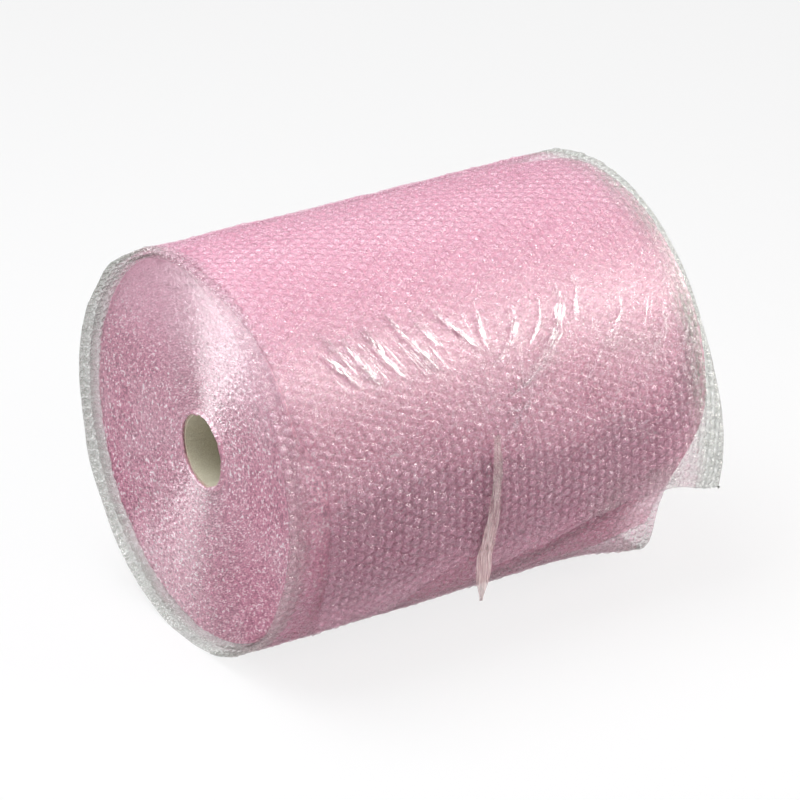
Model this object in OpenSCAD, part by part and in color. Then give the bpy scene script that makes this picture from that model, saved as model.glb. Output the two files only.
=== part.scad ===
// A roll of small-bubble wrap on a cardboard core. It lies on its side.
// The core runs along X, the loose tail hangs on the -Y side, and the origin is
// on the flat spot that the roll rests on, under the middle of the core.

/* [Roll] */
// Diameter over the bubbles of the last full turn
roll_d = 440; // [400:2:460]
// Width of the web, and length of the core
web_w = 500; // [440:5:520]
// Width of the flat spot that the soft roll rests on
flat_w = 90; // [60:2:110]
// How much deeper the turns lie at the core than at the rim of the near end
dish = 7; // [0:1:14]

/* [Core] */
// Inner diameter of the cardboard core
core_id = 76; // [50:1:90]
// Wall of the cardboard core
core_wall = 4.5; // [3:0.5:8]
// Clearance between the core and the first turn of the web
core_fit = 0.2; // [0.1:0.1:0.5]

/* [Bubbles] */
// Distance between bubbles, drawn at twice the real 12 mm
bubble_pitch = 24; // [22:1:32]
// Height of a bubble over the film, drawn at one and a half times the real 4 mm
bubble_h = 6; // [3:0.5:8]
// Thickness of the film between the bubbles, drawn thicker than it is
film_t = 2; // [1.5:0.5:3]

/* [Turns] */
// Step from turn to turn on the ends, each drawn for six real turns
turn_pitch = 17.4; // [15:0.2:22]
// Depth of the groove between two turns
turn_groove = 4; // [2:0.5:6]

/* [Outer turn] */
// How far the last full turn stands out past the near end
collar_out = 21; // [8:1:28]
// How far the slack film bulges out at the lower right
lobe_out = 18; // [0:1:24]
// Length of that bulge along the roll
lobe_len = 130; // [80:5:180]
// Angle below the horizontal where it bulges most
lobe_deg = 50; // [40:1:56]
// Angle that the bulge spans to either side
lobe_span = 24; // [16:1:30]

/* [Tail] */
// Angle above the horizontal where the tail leaves the roll
tail_deg = 30; // [20:1:40]
// How far the tail lies off the roll's middle, towards the far end
tail_shift = 22; // [8:1:30]
// Clearance between the tail and the turn beneath it
tail_fit = 0.8; // [0.6:0.1:2]
// How far the tail's lower edge stands away from the roll
tail_bow = 12; // [4:1:24]
// Angle below the horizontal of the cut edge at the near end
cut_near_deg = 38; // [26:1:44]
// Angle below the horizontal of the cut edge beside the tape
cut_tape_deg = 24; // [18:1:30]
// Angle below the horizontal of the cut edge just past the tape
cut_dip_deg = 32; // [20:1:40]
// Angle below the horizontal of the cut edge at the far end
cut_far_deg = 20; // [12:1:28]

/* [Tape] */
// Place of the tape along the roll
tape_x = -24; // [-60:2:40]
// Angle above the horizontal where the tape starts
tape_deg = 12; // [6:1:18]
// Width of the crumpled tape at its narrow top
tape_top_w = 11; // [6:1:20]
// Width of the tape where it spreads near its tip
tape_low_w = 19; // [8:1:30]
// Thickness of the crumpled tape
tape_t = 1.6; // [1:0.2:3]
// Height over the floor of the tape's pointed tip
tape_tip_z = 68; // [40:2:90]
// Clearance between the tape and the bubbles under it
tape_fit = 0.4; // [0.3:0.1:1]

/* [Hidden] */

roll_r = roll_d / 2;
layer_step = bubble_h;
down = 270;
under_r = roll_r - layer_step * (down - tail_deg) / 360;
centre_z = sqrt(pow(under_r, 2) - pow(flat_w / 2, 2));
core_r = core_id / 2 + core_wall;
bore_r = core_r + core_fit;

// Bubbles: columns lie side by side along X, each half a bubble off the next.
// The count round the roll is a multiple of three, because each facet of an end meets three of the skin.
skin_per_end = 3;
column_w = bubble_pitch * sqrt(3) / 2;
around = skin_per_end * round(PI * roll_d / bubble_pitch / skin_per_end);
skin_n = 2 * around;
end_n = skin_n / skin_per_end;
bore_facets = 72;

// Places along the roll: the outer turn's near edge, the near end, the tail's near edge,
// the far end and the tail's far edge, with columns of bubbles between them.
near_x = -web_w / 2;
far_x = web_w / 2;
collar_x = near_x - collar_out;
tail_x0 = near_x + tail_shift;
tail_x1 = far_x + tail_shift;
function count(width) = max(1, round(width / column_w));
function spread(a, b) = [for (i = [0:count(b - a) - 1]) a + (b - a) * i / count(b - a)];
xs = [each spread(collar_x, near_x), each spread(near_x, tail_x0), each spread(tail_x0, far_x),
    each spread(far_x, tail_x1), tail_x1];
first = count(collar_out) + count(tail_shift);
last = first + count(far_x - tail_x0);
tip = last + count(tail_shift);

// Ends: a spiral of ridges from inside the bore out to the rim.
rim_r = roll_r - layer_step - bubble_h - film_t;
spiral_rows = 2 * floor((rim_r - bore_r) / turn_pitch + 1);
spiral_r = rim_r - film_t - (spiral_rows + 2) * turn_pitch / 2;
// The spiral's middle point lies off the axis by this angle, clear of the seam between its first rows.
middle_deg = 45;
// Beside the tail's root this many steps of the skin stay without bubbles.
root_steps = 3;

function at(x, r, deg) = [x, -r * cos(deg), centre_z + r * sin(deg)];
function ramp(a) = let (t = min(max(a, 0), 1)) t * t * (3 - 2 * t);
function wave(a) = abs(a) < 1 ? (1 + cos(180 * a)) / 2 : 0;
function ring(x, r) = [for (j = [0:end_n - 1]) at(x, r, end_deg(j))];
function end_deg(j) = tail_deg + 360 * j / end_n;
function skin_deg(j) = tail_deg + 360 * j / skin_n;

// Radius over the bubbles of the last full turn. It loses one layer on its way back to the tail's root.
function turn_r(deg) = roll_r - layer_step * (deg - tail_deg) / 360;
function lobe(x, deg) = lobe_out * ramp((x - far_x + lobe_len) / lobe_len)
    * wave((360 - deg - lobe_deg) / lobe_span);
// Bubbles under the roll's weight are pressed flat, and so the flat spot is one plain face.
function pressed(deg) = abs(deg - down) < asin(flat_w / 2 / under_r) + 360 / skin_n;
function on_bubble(i, j) = i > 0 && i < last && j < skin_n - root_steps && (i + j) % 2 == 0;
function skin_pt(i, j) = let (deg = skin_deg(j))
    at(xs[i], turn_r(deg) + lobe(xs[i], deg) - (pressed(deg) || on_bubble(i, j) ? 0 : bubble_h), deg);

// Ends: the rim sets the face, and turns nearer the core are pushed along X by the dish.
function dish_at(r) = dish * (1 - min(max((r - bore_r) / (rim_r - bore_r), 0), 1));
function ring_r(i, j) = max(spiral_r + (i + 2 * j / end_n) * turn_pitch / 2, turn_pitch / 4);
function end_pt(side, i, j) = let (r = ring_r(i, j))
    at(side * web_w / 2 + dish_at(r) - (i % 2 == 0 ? 0 : side * turn_groove), r, end_deg(j));
function end_pts(side) = [
    for (i = [0:spiral_rows], j = [0:end_n - 1]) end_pt(side, i, j),
    end_pt(side, spiral_rows - 1, end_n),
    end_pt(side, spiral_rows, end_n),
    at(side * web_w / 2 + dish, spiral_r / 2, tail_deg - middle_deg),
];
end_count = (spiral_rows + 1) * end_n + 3;

// A ring's last point is the first point of the ring two rows out, because the rows form a spiral.
function end_id(i, j) = j < end_n ? i * end_n + j
    : i + 2 <= spiral_rows ? (i + 2) * end_n
    : end_count - 3 + i + 1 - spiral_rows;
function quad(a, b, c, d) = [[a, c, b], [a, d, c]];
function turned(faces) = [for (f = faces) [f[0], f[2], f[1]]];
function moved(faces, by) = [for (f = faces) [f[0] + by, f[1] + by, f[2] + by]];

// One end, from its middle to the ring at its rim, which follows its own points.
function end_faces() = let (mid = end_count - 1, outer = spiral_rows, rim = end_count) [
    for (j = [0:end_n - 1]) [mid, end_id(0, j + 1), end_id(0, j)],
    [mid, end_id(1, 0), end_id(2, 0)],
    [mid, end_id(0, 0), end_id(1, 0)],
    for (i = [0:outer - 1], j = [0:end_n - 1])
        each quad(end_id(i, j), end_id(i + 1, j), end_id(i + 1, j + 1), end_id(i, j + 1)),
    for (j = [0:end_n - 1])
        each quad(end_id(outer, j), rim + j, rim + (j + 1) % end_n, end_id(outer, j + 1)),
    [end_id(outer, 0), rim, end_id(outer - 1, end_n)],
    [end_id(outer - 1, end_n), rim, end_id(outer, end_n)],
];

// A coarse ring joined to a fine ring with three times as many points.
function fan_faces(coarse, fine) = [
    for (j = [0:end_n - 1]) let (a = coarse + j, b = coarse + (j + 1) % end_n,
        f = fine + skin_per_end * j, next = fine + skin_per_end * (j + 1) % skin_n)
        each [[a, f + 1, f], [a, f + 2, f + 1], [a, b, f + 2], [b, next, f + 2]],
];

// Tail: the last part of the web. It leaves the roll at tail_deg, hangs down the front
// and ends at a cut edge.
tail_rows = round(PI * roll_d * (tail_deg + cut_near_deg) / 360 / (bubble_pitch / 2));
inner_rows = ceil(tail_rows / 2);
loop_n = tail_rows + inner_rows + 2;
root_deg = 12;
function cut_deg(x) = x <= tape_x
    ? cut_near_deg + (cut_tape_deg - cut_near_deg) * pow(ramp((x - tail_x0) / (tape_x - tail_x0)), 2)
    : cut_dip_deg + (cut_far_deg - cut_dip_deg) * ramp((x - tape_x) / (tail_x1 - tape_x));
function tail_row_deg(x, row, rows) = tail_deg - (tail_deg + cut_deg(x)) * row / rows;
function tail_in_r(deg) = turn_r(deg + 360) + tail_fit + tail_bow * pow(max(-deg, 0) / cut_near_deg, 2);
function on_tail_bubble(i, row) = row < tail_rows && i > first && i < tip && (i + row) % 2 == 0;
function tail_lift(deg) = (tail_fit + film_t) * ramp((tail_deg - deg) / root_deg);
function tail_out_pt(i, row) = let (deg = tail_row_deg(xs[i], row, tail_rows))
    at(xs[i], tail_in_r(deg) - tail_fit + tail_lift(deg) + (on_tail_bubble(i, row) ? bubble_h : 0), deg);
function tail_in_pt(i, row) = let (deg = tail_row_deg(xs[i], row, inner_rows))
    at(xs[i], tail_in_r(deg), deg);

// The whole web is one mesh: the near end, the outer turn's inner wall, the skin, the tail and the far end.
module wound_web() {
    near_rim = end_count;
    lip = near_rim + end_n;
    skin = lip + end_n;
    tail = skin + (last + 1) * skin_n;
    far_end = tail + (tip - first + 1) * loop_n;
    far_rim = far_end + end_count;

    // Where the tail lies on the roll, its root is the skin's own first and last point.
    function skin_id(i, j) = skin + i * skin_n + j % skin_n;
    function loop_id(i, k) = i > last ? tail + (i - first) * loop_n + k % loop_n
        : k % loop_n == 0 ? skin_id(i, 0)
        : k % loop_n == loop_n - 1 ? skin_id(i, skin_n - 1)
        : tail + (i - first) * loop_n + k % loop_n;

    points = [
        each end_pts(-1),
        each ring(near_x, rim_r),
        each ring(collar_x, rim_r),
        for (i = [0:last], j = [0:skin_n - 1]) skin_pt(i, j),
        for (i = [first:tip]) each [
            at(xs[i], roll_r - bubble_h, tail_deg),
            for (row = [1:tail_rows]) tail_out_pt(i, row),
            for (row = [inner_rows:-1:1]) tail_in_pt(i, row),
            at(xs[i], turn_r(skin_deg(skin_n - 1)) - bubble_h, skin_deg(skin_n - 1)),
        ],
        each end_pts(1),
        each ring(far_x, rim_r),
    ];
    faces = [
        each end_faces(),
        for (j = [0:end_n - 1])
            each quad(near_rim + j, lip + j, lip + (j + 1) % end_n, near_rim + (j + 1) % end_n),
        each fan_faces(lip, skin),
        for (i = [0:last - 1], j = [0:i < first ? skin_n - 1 : skin_n - 2])
            let (a = skin_id(i, j), b = skin_id(i, j + 1), c = skin_id(i + 1, j + 1), d = skin_id(i + 1, j))
                each (i + j) % 2 == 0 ? quad(b, a, d, c) : quad(a, d, c, b),
        for (i = [first:tip - 1], k = [0:i < last ? loop_n - 2 : loop_n - 1])
            let (a = loop_id(i, k), b = loop_id(i, k + 1), c = loop_id(i + 1, k + 1), d = loop_id(i + 1, k))
                each (i + k) % 2 == 0 ? quad(b, c, d, a) : quad(a, b, c, d),
        [for (k = [0:loop_n - 1]) loop_id(first, k)],
        [for (k = [loop_n - 1:-1:0]) loop_id(tip, k)],
        each turned(fan_faces(far_rim, skin + last * skin_n)),
        each turned(moved(end_faces(), far_end)),
    ];
    polyhedron(points, faces);
}

module bubble_wrap() {
    color([0.89, 0.67, 0.77]) difference() {
        wound_web();
        translate([-web_w, -roll_d, -roll_r]) cube([2 * web_w, 2 * roll_d, roll_r]);
        translate([-web_w, 0, centre_z]) rotate([0, 90, 0])
            cylinder(h = 2 * web_w, r = bore_r, $fn = bore_facets);
    }
}

module cardboard_core() {
    color([0.72, 0.69, 0.6]) translate([near_x + dish, 0, centre_z]) rotate([0, 90, 0]) difference() {
        cylinder(h = web_w, r = core_r, $fn = bore_facets);
        translate([0, 0, -core_wall]) cylinder(h = web_w + 2 * core_wall, r = core_id / 2, $fn = bore_facets);
    }
}

// Tape: a ribbon down the front of the tail, past its cut edge to a pointed tip. Each row is a shallow arch.
tape_rows = 20;
tape_seg = 4;
tape_on_roll = 0.75;
tape_sway = 12;
// How much of the tape's width is gone at its tip
tape_taper = 0.92;
function tape_r(deg) = tail_in_r(deg) + film_t + bubble_h + tape_fit;
function tape_w(t) = t < tape_on_roll ? tape_top_w + (tape_low_w - tape_top_w) * ramp(t / tape_on_roll)
    : tape_low_w * (1 - tape_taper * ramp((t - tape_on_roll) / (1 - tape_on_roll)));
function tape_mid(t) = let (deg = tape_deg - (tape_deg + cut_tape_deg) * min(t / tape_on_roll, 1),
    p = at(tape_x - tape_sway * t, tape_r(deg), deg))
    [p[0], p[1], p[2] + (tape_tip_z - p[2]) * max(t - tape_on_roll, 0) / (1 - tape_on_roll)];
function tape_pt(t, u, out) = tape_mid(t) + [tape_w(t) * u, -out - tape_t * (1 - pow(2 * u, 2)) / 2, 0];

module tape_strip() {
    n = 2 * tape_seg + 2;
    points = [
        for (i = [0:tape_rows]) let (t = i / tape_rows) each [
            for (s = [0:tape_seg]) tape_pt(t, s / tape_seg - 0.5, tape_t),
            for (s = [tape_seg:-1:0]) tape_pt(t, s / tape_seg - 0.5, 0),
        ],
    ];
    faces = [
        for (s = [0:tape_seg - 1]) each quad(s, s + 1, n - 2 - s, n - 1 - s),
        for (i = [0:tape_rows - 1], j = [0:n - 1])
            each quad(i * n + j, i * n + n + j, i * n + n + (j + 1) % n, i * n + (j + 1) % n),
        for (s = [0:tape_seg - 1]) each moved(quad(n - 1 - s, n - 2 - s, s + 1, s), tape_rows * n),
    ];
    color([0.86, 0.84, 0.76]) polyhedron(points, faces);
}

bubble_wrap();
cardboard_core();
tape_strip();
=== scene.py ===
"""A roll of bubble wrap on its cardboard core: the web, the turns inside it and the tape."""
import math

import bmesh
import bpy
import numpy as np
from bpy.props import FloatProperty, FloatVectorProperty, IntProperty, PointerProperty
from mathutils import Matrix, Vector


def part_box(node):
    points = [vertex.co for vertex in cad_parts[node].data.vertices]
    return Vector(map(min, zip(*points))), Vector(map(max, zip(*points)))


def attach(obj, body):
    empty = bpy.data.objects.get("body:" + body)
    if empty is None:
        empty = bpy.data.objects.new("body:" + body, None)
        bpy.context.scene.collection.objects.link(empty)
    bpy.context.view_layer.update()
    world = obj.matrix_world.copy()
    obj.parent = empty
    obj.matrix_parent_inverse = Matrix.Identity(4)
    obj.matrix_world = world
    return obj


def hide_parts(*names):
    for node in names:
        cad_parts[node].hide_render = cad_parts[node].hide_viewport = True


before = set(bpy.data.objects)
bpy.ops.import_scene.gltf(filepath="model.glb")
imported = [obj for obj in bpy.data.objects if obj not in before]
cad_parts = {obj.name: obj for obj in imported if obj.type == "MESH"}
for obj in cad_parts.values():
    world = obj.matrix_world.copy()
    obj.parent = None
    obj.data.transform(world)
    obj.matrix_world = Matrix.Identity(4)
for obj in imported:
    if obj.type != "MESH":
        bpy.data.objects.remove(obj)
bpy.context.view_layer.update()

bl_info = {
    "name": "Bubble Wrap Roll",
    "version": (1, 0, 0),
    "blender": (4, 5, 0),
    "location": "3D View > Sidebar > Roll",
    "description": "Models a roll of bubble wrap with a loose, taped tail round its cardboard core",
    "category": "Add Mesh",
}

CORE_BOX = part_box("cardboard_core")
CORE_HEIGHT = (CORE_BOX[0].z + CORE_BOX[1].z) / 2
CORE_RADIUS = (CORE_BOX[1].z - CORE_BOX[0].z) / 2
MM = 0.001


def length(name, description, default):
    """A length in metres for the panel."""
    return FloatProperty(name=name, description=description, default=default, min=0, unit="LENGTH",
                         subtype="DISTANCE", precision=4)


def angle(name, description, degrees):
    """An angle for the panel, given in degrees."""
    return FloatProperty(name=name, description=description, default=math.radians(degrees), subtype="ANGLE")


def colour(name, description, default):
    """A colour for the panel, in linear red, green and blue."""
    return FloatVectorProperty(name=name, description=description, default=default, size=3, min=0, max=1,
                               subtype="COLOR")


class RollSizes(bpy.types.PropertyGroup):
    """The sizes that change the roll's look. The roll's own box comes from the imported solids."""
    roll_radius: length("Roll radius", "Radius over the bubbles of the last full turn", 0.220)
    web_width: length("Web width", "Width of the film", 0.500)
    layer: length("Layer", "What each full turn adds to the radius", 0.006)
    pitch: length("Bubble pitch", "Distance between bubbles round the roll", 0.012)
    column: length("Column spacing", "Distance between columns of bubbles along the roll", 0.0111)
    bubble: length("Bubble height", "Height of a bubble over the film", 0.004)
    film: length("Film", "Thickness of the backing film", 0.0004)
    collar: length("Collar", "How far the last turn stands out past the near end", 0.021)
    dish: length("Dish", "How much deeper the turns lie at the core than at the rim", 0.007)
    turn: length("Turn", "Thickness of one wound turn on the ends", 0.0029)
    crumple: length("Crumple", "How far the turns' edges stand in and out on the ends", 0.0010)
    tail_root: angle("Tail root", "Angle above the horizontal where the tail leaves the roll", 30)
    tail_slide: length("Tail slide", "How far the hanging tail slides towards the far end", 0.024)
    tail_bow: length("Tail bow", "How far the tail's cut edge stands off the roll", 0.010)
    lobe: length("Slack", "How far the slack film bulges out at the lower right", 0.018)
    tape_place: FloatProperty(name="Tape place", description="Place of the tape along the roll",
                              default=-0.024, unit="LENGTH", subtype="DISTANCE")
    tape_top: length("Tape top", "Width of the crumpled tape at its narrow top", 0.009)
    tape_low: length("Tape low", "Width of the tape where it spreads", 0.019)
    seed: IntProperty(name="Seed", description="Changes every crinkle and dent", default=7, min=0)


class RollColours(bpy.types.PropertyGroup):
    """The colours of the film, the turns, the board and the tape."""
    film: colour("Film", "One layer of film that hangs free", (0.34, 0.37, 0.31))
    film_pink: colour("Film pink", "Film that lies on many other layers", (0.77, 0.35, 0.50))
    film_haze: colour("Film haze", "Paler patches, with a little air under the film", (0.83, 0.50, 0.63))
    turns: colour("Turns", "Many turns of film, one behind the other", (0.74, 0.27, 0.41))
    # The dark of the turns' grain, and painted shade: it darkens the grooves between the turns and paints the
    # shadow below the tail's cut edge.
    turns_dark_and_shade: colour("Turns deep", "The gaps between the turns", (0.34, 0.08, 0.16))
    # Painted shade: the film between the bubbles, darkened as if the domes around it shaded it.
    gaps: colour("Gaps", "The film between the bubbles", (0.48, 0.13, 0.24))
    # Pale crinkles and patches, and the colour of the painted glints on the ends.
    turns_pale_and_painted_glint: colour("Turns light", "The crinkles that catch the light", (1.0, 0.84, 0.90))
    # Painted light: the upper part of the ends is made lighter, standing for light that comes down through
    # the film.
    turns_top_painted_light: colour("Turns at the top", "The ends' upper part, lit through the film", (1.0, 0.50, 0.68))
    board: colour("Board", "Paperboard of the core", (0.74, 0.72, 0.58))
    board_dark: colour("Board seam", "Seams and fibres of the board", (0.50, 0.45, 0.32))
    tape: colour("Tape", "Crumpled clear tape", (0.86, 0.60, 0.60))


def mix(a, b, t):
    return a + (b - a) * t


def ramp(a):
    """A smooth step from 0 to 1."""
    t = np.clip(a, 0, 1)
    return t * t * (3 - 2 * t)


def hump(a):
    """A smooth hump of height 1 between -1 and 1."""
    return np.where(np.abs(a) < 1, (1 + np.cos(np.pi * np.clip(a, -1, 1))) / 2, 0)


def chance(a, b, seed):
    """A repeatable random value from 0 to 1 for each pair of whole numbers."""
    h = a.astype(np.int64) * 374761393 + b.astype(np.int64) * 668265263 + seed * 1274126177
    h = (h ^ (h >> 13)) * 1274126177
    h = (h ^ (h >> 16)) & 0xFFFF
    return h / 65535.0


def rough(x, y, step, seed):
    """Smooth noise from -1 to 1 with bumps about one step apart."""
    u, v = x / step, y / step
    i, j = np.floor(u), np.floor(v)
    s, t = ramp(u - i), ramp(v - j)
    top = mix(chance(i, j, seed), chance(i + 1, j, seed), s)
    low = mix(chance(i, j + 1, seed), chance(i + 1, j + 1, seed), s)
    return 2 * mix(top, low, t) - 1


class Roll:
    """The roll's measures in millimetres and degrees, and where each layer lies."""

    def __init__(self, sizes):
        for name in ("roll_radius", "web_width", "layer", "pitch", "column", "bubble", "film", "collar",
                     "dish", "turn", "crumple", "tail_slide", "tail_bow", "lobe", "tape_place", "tape_top",
                     "tape_low"):
            setattr(self, name, getattr(sizes, name) / MM)
        self.root = math.degrees(sizes.tail_root)
        self.seed = sizes.seed
        self.height = CORE_HEIGHT / MM
        self.bore = CORE_RADIUS / MM + 0.2
        self.near, self.far = -self.web_width / 2, self.web_width / 2

    def place(self, x, r, deg):
        """Points in metres at a place along the roll, a radius and an angle above the horizontal."""
        a = np.radians(deg)
        return np.stack([x, -r * np.cos(a), self.height + r * np.sin(a)], axis=-1) * MM

    def turn_base(self, deg):
        """Radius of the last turn's backing film. The tail's part is below the root's angle."""
        full = self.roll_radius - self.bubble - self.layer * (deg - self.root) / 360
        under = self.roll_radius - self.layer * (deg + 360 - self.root) / 360
        hang = under + 2 + self.tail_bow * (np.maximum(-deg, 0) / 38) ** 2
        return np.where(deg < self.root, hang, full)

    def lobe_out(self, x, deg):
        """The slack film at the lower right."""
        return self.lobe * ramp((x - self.far + 130) / 130) * hump((310 - deg) / 24)

    def cut_deg(self, x):
        """Angle below the horizontal of the tail's cut edge, at a place across the web before it slides."""
        tape = self.tape_place - self.tail_slide
        left = mix(38, 24, ramp((x - self.near) / (tape - self.near)) ** 2)
        right = mix(31, 21, ramp((x - tape) / 200)) + 5 * ramp((x - self.far + 70) / 70)
        return np.where(x <= tape, left, right)

    def web_x(self, x, deg):
        """Place along the roll of a point across the web. The tail slides one way, the turn the other."""
        side = (x - self.near) / self.web_width
        hang = self.root - deg
        slide = self.tail_slide * mix(ramp(hang / 20), ramp(hang / (self.root + 32)), side)
        skew = 2.0 * side * hump((deg - 332) / 62)
        near_side = (1 - side) * mix(1, 0.6, ramp((deg - 400) / 80))
        stand_out = self.collar * (ramp((deg - self.root) / 70) * near_side + skew)
        return x + slide - stand_out


def piece(name, bm, material, points, shares=None):
    """A finished mesh that moves with the roll. The points are its vertices' final places, in metres.

    Shares are values from 0 to 1 for each vertex, which the material reads by name."""
    mesh = bpy.data.meshes.new(name)
    bm.to_mesh(mesh)
    bm.free()
    mesh.vertices.foreach_set("co", points.astype(np.float32).ravel())
    for key, values in (shares or {}).items():
        mesh.attributes.new(key, "FLOAT", "POINT").data.foreach_set("value", values.astype(np.float32))
    mesh.shade_smooth()
    mesh.update()
    made = bpy.data.objects.new(name, mesh)
    bpy.context.scene.collection.objects.link(made)
    mesh.materials.append(material)
    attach(made, "root")
    return made


def spots(bm):
    """The vertices' places as an array."""
    return np.array([v.co[:] for v in bm.verts])


def bubble_web(roll, start, end, x0, x1, blank, cut=None, absent=None):
    """A flat film in millimetres from angle start to end: X across the web, Y round the roll, bubbles up.

    Cells lie in columns, each half a cell off the next. Cells where blank is true get no bubble. The web ends
    where cut, the distance past its cut edge, turns positive, and is left out where absent is true."""
    per_deg = math.radians(1) * (roll.roll_radius - roll.bubble)
    columns = round((x1 - x0) / roll.column)
    rows = round((end - start) * per_deg / roll.pitch)
    step = (x1 - x0) / columns
    bm = bmesh.new()
    bmesh.ops.create_grid(bm, x_segments=columns, y_segments=2 * rows, size=1)
    for v in bm.verts:
        v.co.x = round((v.co.x + 1) / 2 * columns)
        v.co.y = round((v.co.y + 1) * rows)
    inner = [e for e in bm.edges if e.verts[0].co.y == e.verts[1].co.y and 0 < e.verts[0].co.y < 2 * rows
             and (e.verts[0].co.y + min(v.co.x for v in e.verts)) % 2 == 1]
    bmesh.ops.dissolve_edges(bm, edges=inner, use_verts=False, use_face_split=False)
    for v in bm.verts:
        i, j = v.co.x, v.co.y
        zigzag = 0 if i in (0, columns) else (1 if (i + j) % 2 == 0 else -1) / 6
        v.co.x = x0 + (i + zigzag) * step
        v.co.y = start * per_deg + j * (end - start) * per_deg / rows / 2
    if cut:
        gone = [f for f in bm.faces if cut(f.calc_center_median()) > roll.pitch / 6]
        bmesh.ops.delete(bm, geom=gone, context="FACES")
        for v in bm.verts:
            if v.is_boundary and abs(cut(v.co)) < roll.pitch * 0.8:
                v.co.y += cut(v.co)
    if absent:
        bmesh.ops.delete(bm, geom=[f for f in bm.faces if absent(f.calc_center_median())], context="FACES")
    bmesh.ops.solidify(bm, geom=bm.faces[:], thickness=roll.film)
    bmesh.ops.recalc_face_normals(bm, faces=bm.faces[:])
    top = max(v.co.z for v in bm.verts)
    cells = [f for f in bm.faces if f.normal.z > 0.5 and len(f.verts) == 6
             and f.calc_center_median().z > top - 0.1 and not blank(f.calc_center_median())]
    bmesh.ops.inset_individual(bm, faces=cells, thickness=roll.pitch * 0.085, depth=roll.bubble * 0.05)
    bmesh.ops.inset_individual(bm, faces=cells, thickness=roll.pitch * 0.11, depth=roll.bubble * 0.68)
    bmesh.ops.poke(bm, faces=cells, offset=roll.bubble * 0.27)
    return bm, per_deg


# The line below the tail's cut edge where the film is painted with shadow and made denser: places along the
# roll and angles above the horizontal.
CREASE_SHADOW_X = (20, 46, 97, 156, 190)
CREASE_SHADOW_DEG = (-46, -41, -31, -22, -19)


def wind(roll, bm, per_deg):
    """Winds the flat film round the roll, with its slack, folds, dents and its flat spot."""
    co = spots(bm)
    x, deg, h = co[:, 0], co[:, 1] / per_deg, co[:, 2]
    around = co[:, 1]
    column = np.floor(x / roll.column)
    row = np.floor(around / roll.pitch + 0.5 * (column % 2))
    full = 0.62 + 0.42 * chance(column, row, roll.seed)
    lean = chance(column, row, roll.seed + 1) - 0.5
    h = np.where(h > 0.6, h * full, h)
    x = x + np.where(h > 1, lean * 0.9, 0)
    along = roll.web_x(x, deg)
    base = roll.turn_base(deg) + roll.lobe_out(along, deg)
    base = base + 0.9 * rough(along, around, 70, roll.seed + 2)
    base = base + 0.35 * rough(along, around, 17, roll.seed + 3)
    edge = ramp((roll.near - along) / roll.collar)
    base = base + edge * 1.8 * rough(around, along, 45, roll.seed + 4)
    r = base + h
    points = roll.place(along, r, deg)
    floor = (0.2 + 0.4 * np.clip(h, 0, 1)) * MM
    points[:, 2] = np.maximum(points[:, 2], floor)
    soft = 9 * rough(along, around, 26, roll.seed + 9)
    back = deg % 360
    low = mix(0.1, 0.45, hump(((deg + 180) % 360 - 155) / 60))
    behind = ramp((back - 80) / 50) * ramp((335 - back) / 50)
    past_near = ramp((roll.near + 8 + soft / 2 - along) / 18) * mix(low, 1, behind)
    past_far = ramp((along - roll.far + 40 + soft) / 36)
    gap = ramp((base - roll.turn_base(np.where(deg < roll.root, deg + 360, deg)) - 6 + soft / 3) / 9)
    loose = np.maximum(np.maximum(past_near, past_far), gap * ramp((along - 60) / 100))
    slack = hump((deg - 336) / 26) * ramp((along - 130) / 60)
    # Painted shadow: a dark band just below the tail's cut edge, where the film is also made denser.
    fold = np.interp(along, CREASE_SHADOW_X, CREASE_SHADOW_DEG) + 360
    crease = hump(np.clip((deg - fold + 3) / mix(9, 5, ramp((along - 90) / 80)), -1, 1))
    crease = crease * ramp((along + 20) / 60) * ramp((195 - along) / 50)
    hidden = np.maximum(ramp((deg - 316) / 60) * ramp((along - roll.near - 2) / 12), 0.5 * (deg > 394))
    dome = np.clip(h / roll.bubble, 0, 1)
    return points, {"loose": loose, "dome": dome, "hidden": hidden, "crease": crease, "slack": slack}


# Folds that the pull of the tape draws in the film: places along the roll with angles above the horizontal,
# then half their width.
FOLDS = (
    (((94, 49), (90, 42), (75, 35), (54, 29), (28, 24), (-4, 21)), 7.0),
    (((39, 48), (33, 41), (20, 36), (1, 32), (-14, 30)), 4.0),
    (((69, 44), (56, 38), (37, 33)), 3.5),
    (((163, 42), (156, 35), (136, 30), (119, 27), (100, 22), (78, 15)), 3.5),
    (((210, 36), (204, 29), (192, 25), (169, 21)), 4.0),
    (((236, 29), (225, 24), (212, 22)), 3.5),
    (((-63, 54), (-50, 47), (-32, 40), (-11, 33)), 3.5),
    (((-83, 52), (-76, 45), (-64, 39)), 3.5),
    (((-110, 53), (-100, 46), (-86, 39), (-72, 33)), 3.5),
    (((-138, 52), (-129, 40), (-112, 33)), 4.0),
    (((-168, 48), (-155, 40), (-140, 33)), 4.0),
    (((-196, 46), (-178, 39), (-163, 33)), 4.0),
    (((-7, 47), (-11, 40), (-10, 34)), 3.5),
    (((-10, 18), (6, 17), (22, 18)), 4.5),
    (((118, 52), (114, 44), (98, 36)), 3.5),
    (((30, 24), (14, 16), (-14, 11)), 4.0),
)


# Fields of short creases: from and to along the roll, from and to in degrees, and how many.
SHORT_CREASES = ((-205, -60, 33, 50, 60), (-60, 60, 22, 46, 30), (60, 230, 20, 44, 20))


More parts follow.
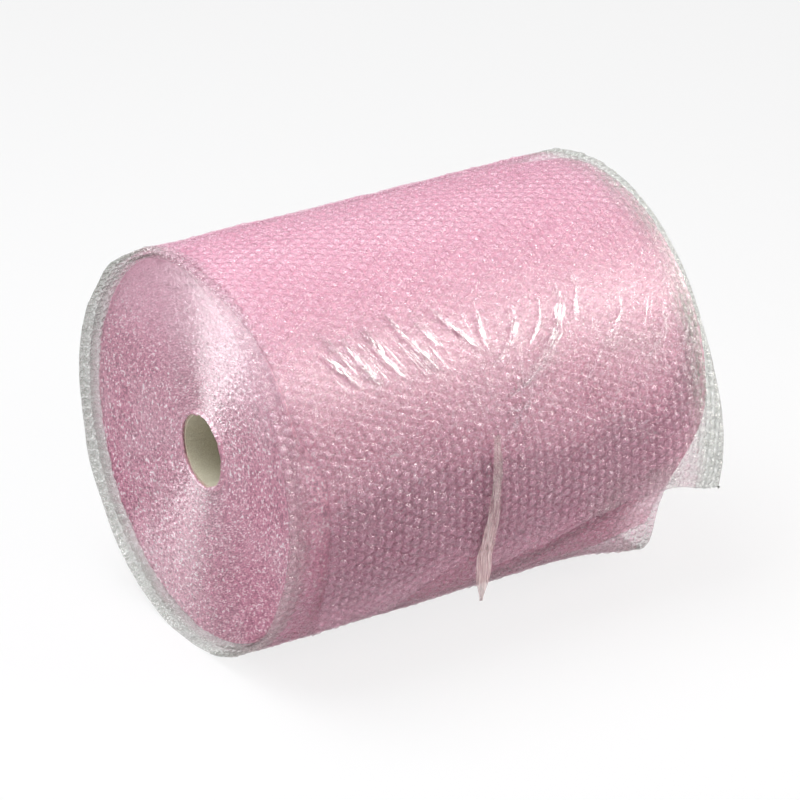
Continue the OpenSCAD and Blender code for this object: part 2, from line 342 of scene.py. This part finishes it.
def strands(seed):
    """The fine creases that make up each fold, its broad band, and short creases beside them."""
    rng = np.random.default_rng(seed)
    made = []
    for line, wide in FOLDS:
        line = np.array(line, float)
        for _ in range(int(wide * 0.8)):
            off = rng.normal(0, wide * 0.42)
            start, end = sorted(rng.uniform(0, 1, 2)) if wide > 2 and rng.uniform() < 0.6 else (0, 1)
            if end - start < 0.3:
                start, end = max(start - 0.2, 0), min(end + 0.2, 1)
            t = np.linspace(start, end, 6) * (len(line) - 1)
            k = np.arange(len(line))
            x = np.interp(t, k, line[:, 0]) + off + rng.uniform(-0.6, 0.6)
            deg = np.interp(t, k, line[:, 1]) + off * 0.05
            made.append((list(zip(x, deg)), rng.uniform(0.7, 1.6)))
        made.append(([tuple(spot) for spot in line], wide * 1.3))
    for x0, x1, low, high, count in SHORT_CREASES:
        for x, deg in zip(rng.uniform(x0, x1, count), rng.uniform(low, high, count)):
            reach = rng.uniform(5, 13)
            lean = np.clip((-12 - x) / 75, -1.2, 1.2) + rng.uniform(-0.15, 0.15)
            line = [(x + lean * reach * t * 1.6, deg - reach * (t - 0.5)) for t in (0, 0.5, 1)]
            made.append((line, rng.uniform(0.7, 1.6)))
    return made


def fold_mesh(roll, material):
    """The folds that the tape's pull draws in the film, each a low glossy ridge over the bubbles."""
    bm = bmesh.new()
    share = []
    scale = math.radians(1) * roll.roll_radius
    for number, (line, wide) in enumerate(strands(roll.seed)):
        band = wide > 3
        across = np.linspace(-1, 1, 15 if band else 5)
        knots = np.array([(x, deg * scale) for x, deg in line])
        lengths = np.concatenate([[0], np.cumsum(np.hypot(*np.diff(knots, axis=0).T))])
        count = max(6, int(lengths[-1] / 2.0))
        s = np.linspace(0, lengths[-1], count)
        x = np.interp(s, lengths, knots[:, 0])
        y = np.interp(s, lengths, knots[:, 1])
        for _ in range(6):
            x[1:-1] = (x[:-2] + 2 * x[1:-1] + x[2:]) / 4
            y[1:-1] = (y[:-2] + 2 * y[1:-1] + y[2:]) / 4
        way = np.stack([np.gradient(x), np.gradient(y)])
        way /= np.hypot(*way)
        taper = np.sqrt(np.clip(np.sin(np.pi * np.linspace(0.02, 0.98, count)), 0, 1))
        wave = rough(s, s * 0 + number * 50, 8, roll.seed + 14)
        half = wide * taper * (1 + 0.35 * wave)
        rows = []
        for side in across:
            px = x + way[1] * half * side + 0.5 * rough(s, s * 0 + number * 31, 5, roll.seed + 15)
            py = y - way[0] * half * side
            deg = py / scale
            crest = (1 - side * side) * taper
            lift = roll.bubble * (0.7 if band else 0.72) + (0.35 + 0.1 * wave) * crest * (not band)
            lift = lift + 0.25 * rough(px * 4, py * 4, 7, roll.seed + 16)
            spot = roll.place(px, roll.turn_base(deg) + lift, deg)
            rows.append([bm.verts.new(p) for p in spot])
            streak = 0.55 + 0.45 * rough(s, s * 0 + number * 17, 11, roll.seed + 17)
            if band:
                place = (s * 0.8 + number * 90, s * 0 + side * wide * 5)
                streak = 0.35 + 0.75 * rough(*place, 7, roll.seed + 18)
            share.append(crest * np.clip(streak, 0, 1))
        for a, b in zip(rows, rows[1:]):
            for k in range(count - 1):
                bm.faces.new((a[k], b[k], b[k + 1], a[k + 1]))
    bmesh.ops.solidify(bm, geom=bm.faces[:], thickness=0.00015)
    bmesh.ops.recalc_face_normals(bm, faces=bm.faces[:])
    values = np.concatenate(share)
    values = np.concatenate([values, values])[:len(bm.verts)]
    return piece("tension_folds", bm, material, spots(bm), {"taut": values})


def web_mesh(name, roll, start, end, material, **limits):
    """One length of the web as a finished piece."""
    bm, per_deg = bubble_web(roll, start, end, roll.near, roll.far, **limits)
    points, shares = wind(roll, bm, per_deg)
    return piece(name, bm, material, points, shares)


def wound_body(roll, material, steps):
    """The turns inside the outer web: two crumpled ends, a side and the bore, spun round the axis."""
    rim = roll.roll_radius - roll.bubble - roll.layer - 1.2
    turns = int((rim - roll.bore) / roll.turn)
    ridges = [roll.bore + (rim - roll.bore) * k / (2 * turns) for k in range(2 * turns + 1)]
    dish = lambda r: roll.dish * (1 - (r - roll.bore) / (rim - roll.bore))
    mouth = roll.near + roll.dish
    lip = [(mouth - 3.0, roll.bore - 3.6, 1), (mouth - 5.0, roll.bore - 1.0, 2)]
    profile = [(mouth - 0.8, roll.bore - 1.0, 0)] + lip
    profile += [(roll.near + dish(r), r, 1 + k % 2) for k, r in enumerate(ridges)]
    profile += [(roll.near + 1 + 4 * k, rim + 1.2, 0) for k in range(6)]
    profile += [(mix(roll.near + 25, roll.far - 25, k / 12), rim + 1.2, 0) for k in range(13)]
    profile += [(roll.far - 21 + 4 * k, rim + 1.2, 0) for k in range(6)]
    profile += [(roll.far + dish(r), r, -1 - k % 2) for k, r in reversed(list(enumerate(ridges)))]
    bm = bmesh.new()
    kind = bm.verts.layers.int.new("kind")
    first = []
    for x, r, mark in profile:
        v = bm.verts.new((x, -r, 0))
        v[kind] = mark
        first.append(v)
    rings = [bm.edges.new((a, b)) for a, b in zip(first, first[1:] + first[:1])]
    bmesh.ops.spin(bm, geom=first + rings, cent=(0, 0, 0), axis=(1, 0, 0), angle=math.tau, steps=steps,
                   use_merge=True)
    bmesh.ops.recalc_face_normals(bm, faces=bm.faces[:])
    co = spots(bm)
    mark = np.array([v[kind] for v in bm.verts])
    x, r = co[:, 0], np.hypot(co[:, 1], co[:, 2])
    deg = np.degrees(np.arctan2(co[:, 2], -co[:, 1]))
    side = np.sign(mark)
    ridge = (np.abs(mark) == 1) & (r > roll.bore + 0.5)
    arc = r * np.radians(deg)
    fine = chance(np.round(r * 7), np.round(deg * 5), roll.seed + 5) * 2 - 1
    wavy = rough(arc, r * 9, 9, roll.seed + 6)
    stand = np.where(ridge, roll.crumple, -roll.crumple) + 0.45 * fine + 0.7 * wavy
    on_end = (side != 0) & (r > roll.bore + 0.5)
    lip_edge = (side > 0) & (r < roll.bore)
    r = np.where(lip_edge, r + 1.3 * rough(arc, r, 5, roll.seed + 13), r)
    x = np.where(on_end, x - side * stand, x)
    x = x + np.where(on_end, 1.2 * rough(co[:, 1], co[:, 2], 60, roll.seed + 7), 0)
    r = np.where(on_end, r + 0.45 * rough(arc, r * 5, 6, roll.seed + 8), r)
    around = np.where(deg < roll.root, deg + 360, deg)
    near_root = (deg < roll.root) * ramp((deg + 8) / 36)
    under_root = mix(roll.turn_base(around), roll.roll_radius - roll.bubble, near_root)
    reach = (under_root - 1.7 - roll.bore) / (rim + 1.2 - roll.bore)
    r = np.where(r > roll.bore + 0.5, roll.bore + (r - roll.bore) * mix(1, reach, ramp((r - 120) / 80)), r)
    low = hump((deg + 32) / 38)
    outer = ramp((r - 120) / 90)
    r = r - outer * (5 * ramp((-x - 225) / 22) + (6 + 5 * low) * ramp((x - 190) / 60))
    x = x - 30 * low * ramp((r - 110) / 90) * ramp((x - 90) / 160)
    points = roll.place(x, r, deg)
    points[:, 2] = np.maximum(points[:, 2], 0.8 * MM)
    return piece("wound_turns", bm, material, points, {"groove": (np.abs(mark) == 2) * 1.0})


def tape_mesh(roll, material):
    """The crumpled tape: a pleated ribbon down the tail's front and on to a pointed tip."""
    bm = bmesh.new()
    across, down = 10, 60
    bmesh.ops.create_grid(bm, x_segments=across, y_segments=down, size=1)
    bmesh.ops.solidify(bm, geom=bm.faces[:], thickness=0.02)
    bmesh.ops.recalc_face_normals(bm, faces=bm.faces[:])
    co = spots(bm)
    u, t, out = co[:, 0] / 2, (1 - co[:, 1]) / 2, co[:, 2] / 0.02 * 0.35
    on_roll, tip_z, sway = 0.75, 68, 12
    start, end = 12, -24
    deg = start + (end - start) * np.minimum(t / on_roll, 1)
    wide = np.where(t < on_roll, mix(roll.tape_top, roll.tape_low, ramp(t / on_roll)),
                    roll.tape_low * (1 - 0.8 * ramp((t - on_roll) / (1 - on_roll)) ** 3))
    ease = ramp(t * 4)
    pleat = np.abs(((u * 5.5 + 0.35 * rough(t * 60, u * 3, 9, roll.seed)) % 1) - 0.5) * 2
    uneven = 0.7 * rough(t * 200, u * 30, 12, roll.seed)
    r = roll.turn_base(deg) + roll.bubble + 0.6 + 1.7 * pleat * ease + out + uneven
    x = roll.tape_place - sway * t + wide * u + 1.2 * rough(t * 200, t * 0, 30, roll.seed + 3)
    points = roll.place(x, r, deg)
    hang = np.maximum(t - on_roll, 0) / (1 - on_roll)
    points[:, 2] = mix(points[:, 2], tip_z * MM, hang)
    return piece("crumpled_tape", bm, material, points, {"low": ramp((t - 0.3) / 0.5)})


class Nodes:
    """A short way to lay out a material's nodes."""

    def __init__(self, name):
        self.material = bpy.data.materials.new(name)
        self.material.use_nodes = True
        self.tree = self.material.node_tree
        self.tree.nodes.clear()
        self.out = self.add("ShaderNodeOutputMaterial")
        self.where = self.add("ShaderNodeTexCoord").outputs["Object"]

    def add(self, kind, inputs=None, **settings):
        node = self.tree.nodes.new(kind)
        for key, value in settings.items():
            setattr(node, key, value)
        for key, value in (inputs or {}).items():
            if isinstance(value, bpy.types.NodeSocket):
                self.tree.links.new(value, node.inputs[key])
            elif isinstance(value, (tuple, list)) or hasattr(value, "r"):
                value = tuple(value)
                room = len(node.inputs[key].default_value)
                node.inputs[key].default_value = value + (1,) if room == 4 and len(value) == 3 else value
            else:
                node.inputs[key].default_value = value
        return node

    def noise(self, scale, detail=2, roughness=0.5, where=None):
        inputs = {"Vector": where or self.where, "Scale": scale, "Detail": detail, "Roughness": roughness}
        return self.add("ShaderNodeTexNoise", inputs).outputs["Fac"]

    def spread(self, value, low, high, to_low=0.0, to_high=1.0):
        return self.add("ShaderNodeMapRange", {"Value": value, "From Min": low, "From Max": high,
                                               "To Min": to_low, "To Max": to_high}).outputs["Result"]

    def blend(self, factor, a, b):
        node = self.add("ShaderNodeMix", {"Factor": factor}, data_type="RGBA")
        for socket, value in ((node.inputs[6], a), (node.inputs[7], b)):
            if isinstance(value, bpy.types.NodeSocket):
                self.tree.links.new(value, socket)
            else:
                socket.default_value = tuple(value) + (1,) if len(value) == 3 else tuple(value)
        return node.outputs[2]

    def math(self, operation, a, b=0.0):
        return self.add("ShaderNodeMath", {0: a, 1: b}, operation=operation).outputs[0]

    def bump(self, height, distance, strength=1.0, normal=None):
        inputs = {"Height": height, "Distance": distance, "Strength": strength}
        if normal:
            inputs["Normal"] = normal
        return self.add("ShaderNodeBump", inputs).outputs["Normal"]

    def finish(self, **inputs):
        shader = self.add("ShaderNodeBsdfPrincipled", {k.replace("_", " "): v for k, v in inputs.items()})
        self.tree.links.new(shader.outputs[0], self.out.inputs["Surface"])
        return self.material


def film_material(c):
    """Glossy film: see-through and greyish where it hangs free, and pink on the layers beneath."""
    n = Nodes("bubble film")
    share = {key: n.add("ShaderNodeAttribute", attribute_name=key).outputs["Fac"]
             for key in ("loose", "dome", "hidden", "crease", "slack")}
    patches = n.spread(n.noise(11, 3, 0.55), 0.45, 0.70)
    grain = n.noise(380, 2, 0.6)
    painted_glint = n.spread(grain, 0.60, 0.70)
    tint = n.blend(n.math("MULTIPLY", patches, 0.7), c.film_pink, c.film_haze)
    # Painted shade: the film is darker where it lies low between the domes.
    tint = n.blend(n.spread(share["dome"], 0.05, 0.55, 0.8, 0), tint, c.gaps)
    tint = n.blend(n.spread(grain, 0.28, 0.48, 0.6, 0), tint, c.turns)
    tint = n.blend(share["loose"], tint, c.film)
    # Paler where the slack film bulges out at the lower right.
    tint = n.blend(n.math("MULTIPLY", share["slack"], 0.8), tint, c.turns_pale_and_painted_glint)
    # Painted shadow below the tail's cut edge.
    tint = n.blend(share["crease"], tint, c.turns_dark_and_shade)
    # Painted highlight: white glints speckled by the grain noise.
    tint = n.blend(n.math("MULTIPLY", painted_glint, 0.6), tint, (1.0, 0.97, 0.95))
    dense = n.spread(grain, 0.3, 0.7, 0.16, 0.46)
    dense = n.math("ADD", dense, n.spread(share["dome"], 0.0, 1.0, -0.08, 0.12))
    along = n.add("ShaderNodeSeparateXYZ", {0: n.where}).outputs[0]
    rib = n.spread(n.math("SINE", n.math("MULTIPLY", along, 950.0)), -1.0, 1.0, -0.10, 0.10)
    ribbed = n.math("MULTIPLY", n.spread(share["loose"], 0.2, 0.8), n.spread(along, 0.0, 0.1))
    dense = n.math("ADD", dense, n.math("MULTIPLY", ribbed, rib))
    dense = n.math("MULTIPLY", dense, n.spread(share["loose"], 0.0, 1.0, 1.0, 1.2))
    dense = n.math("MULTIPLY", dense, n.spread(along, -0.262, -0.250, 1.25, 1.0))
    bunched = n.math("MAXIMUM", share["slack"], share["crease"])
    dense = n.math("MULTIPLY", dense, n.spread(bunched, 0.0, 1.0, 1.0, 1.7))
    dense = n.math("MULTIPLY", dense, n.spread(share["hidden"], 0.0, 1.0, 1.0, 0.15))
    normal = n.bump(n.noise(700, 2, 0.6), 0.0009)
    normal = n.bump(n.noise(150, 2, 0.5), 0.0019, 1.0, normal)
    return n.finish(Base_Color=tint, Roughness=0.17, IOR=1.7, Specular_IOR_Level=1.0, Alpha=dense,
                    Normal=normal)


def fold_material():
    """Taut film: pale and glossy along the crest of each fold, and clear at its sides."""
    n = Nodes("taut film")
    taut = n.add("ShaderNodeAttribute", attribute_name="taut").outputs["Fac"]
    breaks = n.spread(n.noise(300, 2, 0.6), 0.36, 0.56, 0.5, 1.0)
    dense = n.math("MULTIPLY", n.spread(taut, 0.05, 0.85, 0.0, 0.36), breaks)
    normal = n.bump(n.noise(400, 2, 0.6), 0.0003)
    return n.finish(Base_Color=(1.0, 0.66, 0.78), Roughness=0.24, IOR=2.5, Specular_IOR_Level=1.0,
                    Alpha=dense, Normal=normal)


def turns_material(c, height):
    """Many layers of film, one behind the other, pink and grainy, with gloss drawn out along the turns."""
    n = Nodes("wound turns")
    groove = n.add("ShaderNodeAttribute", attribute_name="groove").outputs["Fac"]
    place = n.add("ShaderNodeSeparateXYZ", {0: n.where})
    up = n.math("SUBTRACT", place.outputs[2], height)
    outward = n.add("ShaderNodeCombineXYZ", {1: place.outputs[1], 2: up}).outputs[0]
    outward = n.add("ShaderNodeVectorTransform", {0: outward}, vector_type="VECTOR", convert_from="OBJECT",
                    convert_to="WORLD").outputs[0]
    outward = n.add("ShaderNodeVectorMath", {0: outward}, operation="NORMALIZE").outputs[0]
    grain = n.noise(260, 3, 0.7)
    patches = n.noise(14, 2, 0.5)
    tone = n.blend(n.spread(grain, 0.39, 0.49), c.turns_dark_and_shade, c.turns)
    tone = n.blend(n.spread(patches, 0.4, 0.8, 0, 0.3), tone, c.turns_pale_and_painted_glint)
    # Painted shade in the grooves between the turns.
    tone = n.blend(n.math("MULTIPLY", groove, 0.45), tone, c.turns_dark_and_shade)
    # Painted highlight: glints speckled by the grain noise on the ends.
    tone = n.blend(n.spread(grain, 0.57, 0.60), tone, c.turns_pale_and_painted_glint)
    # Painted light: the ends turn lighter towards the top.
    tone = n.blend(n.spread(up, 0.06, 0.18, 0.0, 0.8), tone, c.turns_top_painted_light)
    shine = n.spread(up, -0.16, 0.04, 0.45, 1.0)
    normal = n.bump(n.noise(420, 3, 0.65), 0.0008)
    normal = n.bump(n.noise(190, 2, 0.6), 0.0014, 1.0, normal)
    return n.finish(Base_Color=tone, Roughness=0.5, IOR=1.9, Specular_IOR_Level=shine, Anisotropic=0.86,
                    Tangent=outward, Normal=normal)


def board_material(c, height):
    """Paperboard wound on a slant: fibres, and a darker line where each strip meets the next."""
    n = Nodes("core board")
    place = n.add("ShaderNodeSeparateXYZ", {0: n.where})
    up = n.math("SUBTRACT", place.outputs[2], height)
    turn = n.math("DIVIDE", n.math("ARCTAN2", up, place.outputs[1]), math.tau)
    strip = n.math("FRACT", n.math("ADD", turn, n.math("MULTIPLY", place.outputs[0], 8.0)))
    seam = n.spread(n.math("ABSOLUTE", n.math("SUBTRACT", strip, 0.5)), 0.0, 0.03, 1, 0)
    fibres = n.noise(900, 3, 0.7)
    tone = n.blend(n.spread(fibres, 0.35, 0.7), c.board_dark, c.board)
    tone = n.blend(n.math("MULTIPLY", seam, 0.7), tone, c.board_dark)
    normal = n.bump(n.math("SUBTRACT", fibres, seam), 0.0004)
    return n.finish(Base_Color=tone, Roughness=0.85, Normal=normal)


def tape_material(c):
    """Crumpled clear tape, pale and streaked along its length."""
    n = Nodes("crumpled tape")
    along = n.add("ShaderNodeMapping", {"Vector": n.where, "Scale": (4.0, 1.0, 0.25)}).outputs[0]
    streaks = n.noise(160, 3, 0.6, along)
    tone = n.blend(n.spread(streaks, 0.4, 0.65), c.tape, (0.96, 0.82, 0.80))
    normal = n.bump(streaks, 0.0015)
    low = n.add("ShaderNodeAttribute", attribute_name="low").outputs["Fac"]
    dense = n.math("MULTIPLY", n.spread(streaks, 0.35, 0.7, 0.25, 0.75), n.spread(low, 0.0, 1.0, 0.5, 1.0))
    return n.finish(Base_Color=tone, Roughness=0.25, IOR=1.5, Normal=normal, Alpha=dense)


# Lamps: name, place, size, power, colour, and whether they light surfaces or only show in their gloss.
LAMPS = (
    ("top_softbox", (-0.8, 0.3, 2.5), (2.1, 1.5), 60, (0.95, 0.97, 1.0), True),
    ("front_strip", (1.42, -1.95, 1.9), (0.4, 1.5), 10, (1.0, 0.94, 0.86), True),
    ("right_softbox", (1.1, -0.9, 0.5), (0.5, 0.5), 6.5, (1.0, 0.93, 0.93), True),
    ("left_softbox", (-2.6, -0.9, 1.3), (1.3, 1.0), 13, (1.0, 0.98, 0.97), True),
    ("front_gloss", (1.42, -1.6, 2.17), (1.0, 0.9), 108, (1.0, 0.97, 0.92), False),
    ("low_gloss", (1.3, -2.3, 0.35), (0.3, 0.3), 4, (0.97, 0.95, 1.0), False),
    ("top_gloss", (1.35, 1.8, 2.2), (2.6, 1.6), 42, (0.96, 0.98, 1.0), False),
    ("end_gloss", (-2.25, 1.5, 1.5), (1.6, 1.4), 120, (1.0, 1.0, 1.0), False),
)


class ROLL_OT_stage(bpy.types.Operator):
    """Adds the pale floor, the soft lights, the white surroundings and the camera"""
    bl_idname = "roll.stage"
    bl_label = "Stage"

    def execute(self, context):
        scene = context.scene
        scene.view_settings.view_transform = "Standard"
        self.camera(scene)
        self.floor(scene)
        self.surroundings(scene)
        for lamp in LAMPS:
            self.lamp(scene, *lamp)
        return {"FINISHED"}

    def camera(self, scene):
        data = bpy.data.cameras.new("camera")
        data.lens, data.sensor_width = 193.19, 36
        data.clip_end = 60
        camera = bpy.data.objects.new("camera", data)
        turn, lift = math.radians(-32.98), math.radians(24.94)
        target, distance = Vector((-0.00192, 0, 0.20776)), 4.557
        look = Vector((-math.sin(turn) * math.cos(lift), math.cos(turn) * math.cos(lift), -math.sin(lift)))
        camera.location = target - look * distance
        camera.rotation_euler = look.to_track_quat("-Z", "Y").to_euler()
        scene.collection.objects.link(camera)
        scene.camera = camera

    def lamp(self, scene, name, place, size, power, tint, lights):
        data = bpy.data.lights.new(name, "AREA")
        data.shape, data.size, data.size_y = "RECTANGLE", size[0], size[1]
        data.energy, data.color = power, tint
        lamp = bpy.data.objects.new(name, data)
        lamp.location = place
        lamp.visible_diffuse = lights
        lamp.rotation_euler = (Vector((0, 0, 0.2)) - lamp.location).to_track_quat("-Z", "Y").to_euler()
        scene.collection.objects.link(lamp)

    def straight_view(self, n):
        """1 where the camera looks straight at a surface or sees it in gloss, and 0 for light."""
        path = n.add("ShaderNodeLightPath")
        seen = n.math("MAXIMUM", path.outputs["Is Camera Ray"], path.outputs["Is Glossy Ray"])
        return n.math("MAXIMUM", seen, path.outputs["Is Transmission Ray"])

    def floor(self, scene):
        n = Nodes("pale floor")
        plain = n.add("ShaderNodeBsdfDiffuse", {"Color": (0.86, 0.86, 0.86)}).outputs[0]
        white = n.add("ShaderNodeEmission", {"Color": (1, 1, 1), "Strength": 1.0}).outputs[0]
        factor = n.math("MULTIPLY", self.straight_view(n), 0.8)
        both = n.add("ShaderNodeMixShader", {0: factor, 1: plain, 2: white}).outputs[0]
        n.tree.links.new(both, n.out.inputs["Surface"])
        bm = bmesh.new()
        bmesh.ops.create_grid(bm, x_segments=1, y_segments=1, size=15)
        mesh = bpy.data.meshes.new("floor")
        bm.to_mesh(mesh)
        bm.free()
        mesh.materials.append(n.material)
        floor = bpy.data.objects.new("floor", mesh)
        scene.collection.objects.link(floor)

    def surroundings(self, scene):
        world = bpy.data.worlds.new("surroundings")
        world.use_nodes = True
        tree = world.node_tree
        back = tree.nodes["Background"]
        back.inputs["Color"].default_value = (1, 1, 1, 1)
        path = tree.nodes.new("ShaderNodeLightPath")
        strength = tree.nodes.new("ShaderNodeMapRange")
        strength.inputs["To Min"].default_value = 0.27
        strength.inputs["To Max"].default_value = 1.0
        tree.links.new(path.outputs["Is Camera Ray"], strength.inputs["Value"])
        tree.links.new(strength.outputs["Result"], back.inputs["Strength"])
        scene.world = world


class ROLL_OT_turns(bpy.types.Operator):
    """Models the turns of film inside the outer web, with their crumpled edges on both ends"""
    bl_idname = "roll.turns"
    bl_label = "Wound turns"

    def execute(self, context):
        roll = Roll(context.scene.roll_sizes)
        body = wound_body(roll, turns_material(context.scene.roll_colours, CORE_HEIGHT), 360)
        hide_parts("bubble_wrap")
        return {"FINISHED"}


class ROLL_OT_web(bpy.types.Operator):
    """Models the outer turn of bubble film and its loose tail, which is cut across at its end"""
    bl_idname = "roll.web"
    bl_label = "Outer web"

    def execute(self, context):
        roll = Roll(context.scene.roll_sizes)
        film = film_material(context.scene.roll_colours)
        per_deg = math.radians(1) * (roll.roll_radius - roll.bubble)
        pressed = math.degrees(math.asin(45 / roll.roll_radius)) + 2
        flat = lambda p: abs(p.y / per_deg % 360 - 270) < pressed
        cut = lambda p: -float(roll.cut_deg(np.array(p.x))) * per_deg - p.y
        inside = lambda p: p.y / per_deg > 394 and p.x > roll.near + 2 * roll.column
        web_mesh("outer_web", roll, -38, 270, film, blank=flat, cut=cut)
        web_mesh("under_web", roll, 270, 745, film, blank=flat, absent=inside)
        return {"FINISHED"}


class ROLL_OT_folds(bpy.types.Operator):
    """Models the folds that the tape draws in the film"""
    bl_idname = "roll.folds"
    bl_label = "Folds"

    def execute(self, context):
        fold_mesh(Roll(context.scene.roll_sizes), fold_material())
        return {"FINISHED"}


class ROLL_OT_tape(bpy.types.Operator):
    """Models the crumpled tape that holds the tail"""
    bl_idname = "roll.tape"
    bl_label = "Tape"

    def execute(self, context):
        tape = tape_mesh(Roll(context.scene.roll_sizes), tape_material(context.scene.roll_colours))
        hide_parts("tape_strip")
        return {"FINISHED"}


class ROLL_OT_core(bpy.types.Operator):
    """Gives the cardboard core its paperboard"""
    bl_idname = "roll.core"
    bl_label = "Core"

    def execute(self, context):
        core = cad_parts["cardboard_core"]
        board = board_material(context.scene.roll_colours, CORE_HEIGHT)
        if not core.material_slots:
            core.data.materials.append(board)
        for slot in core.material_slots:
            slot.material = board
        return {"FINISHED"}


STEPS = (ROLL_OT_stage, ROLL_OT_turns, ROLL_OT_web, ROLL_OT_folds, ROLL_OT_tape, ROLL_OT_core)


class ROLL_PT_build(bpy.types.Panel):
    """The roll's sizes, its colours and the steps that make it"""
    bl_label = "Bubble Wrap Roll"
    bl_idname = "ROLL_PT_build"
    bl_space_type = "VIEW_3D"
    bl_region_type = "UI"
    bl_category = "Roll"

    def draw(self, context):
        for group in (context.scene.roll_sizes, context.scene.roll_colours):
            box = self.layout.box()
            for name in group.__annotations__:
                box.prop(group, name)
        for step in STEPS:
            self.layout.operator(step.bl_idname)


CLASSES = (RollSizes, RollColours, *STEPS, ROLL_PT_build)


def register():
    for one in CLASSES:
        bpy.utils.register_class(one)
    bpy.types.Scene.roll_sizes = PointerProperty(type=RollSizes)
    bpy.types.Scene.roll_colours = PointerProperty(type=RollColours)


def unregister():
    del bpy.types.Scene.roll_colours
    del bpy.types.Scene.roll_sizes
    for one in reversed(CLASSES):
        bpy.utils.unregister_class(one)


def main():
    register()
    roll = bpy.ops.roll
    for step in (roll.stage, roll.turns, roll.web, roll.folds, roll.tape, roll.core):
        step()


if __name__ == "__main__":
    main()
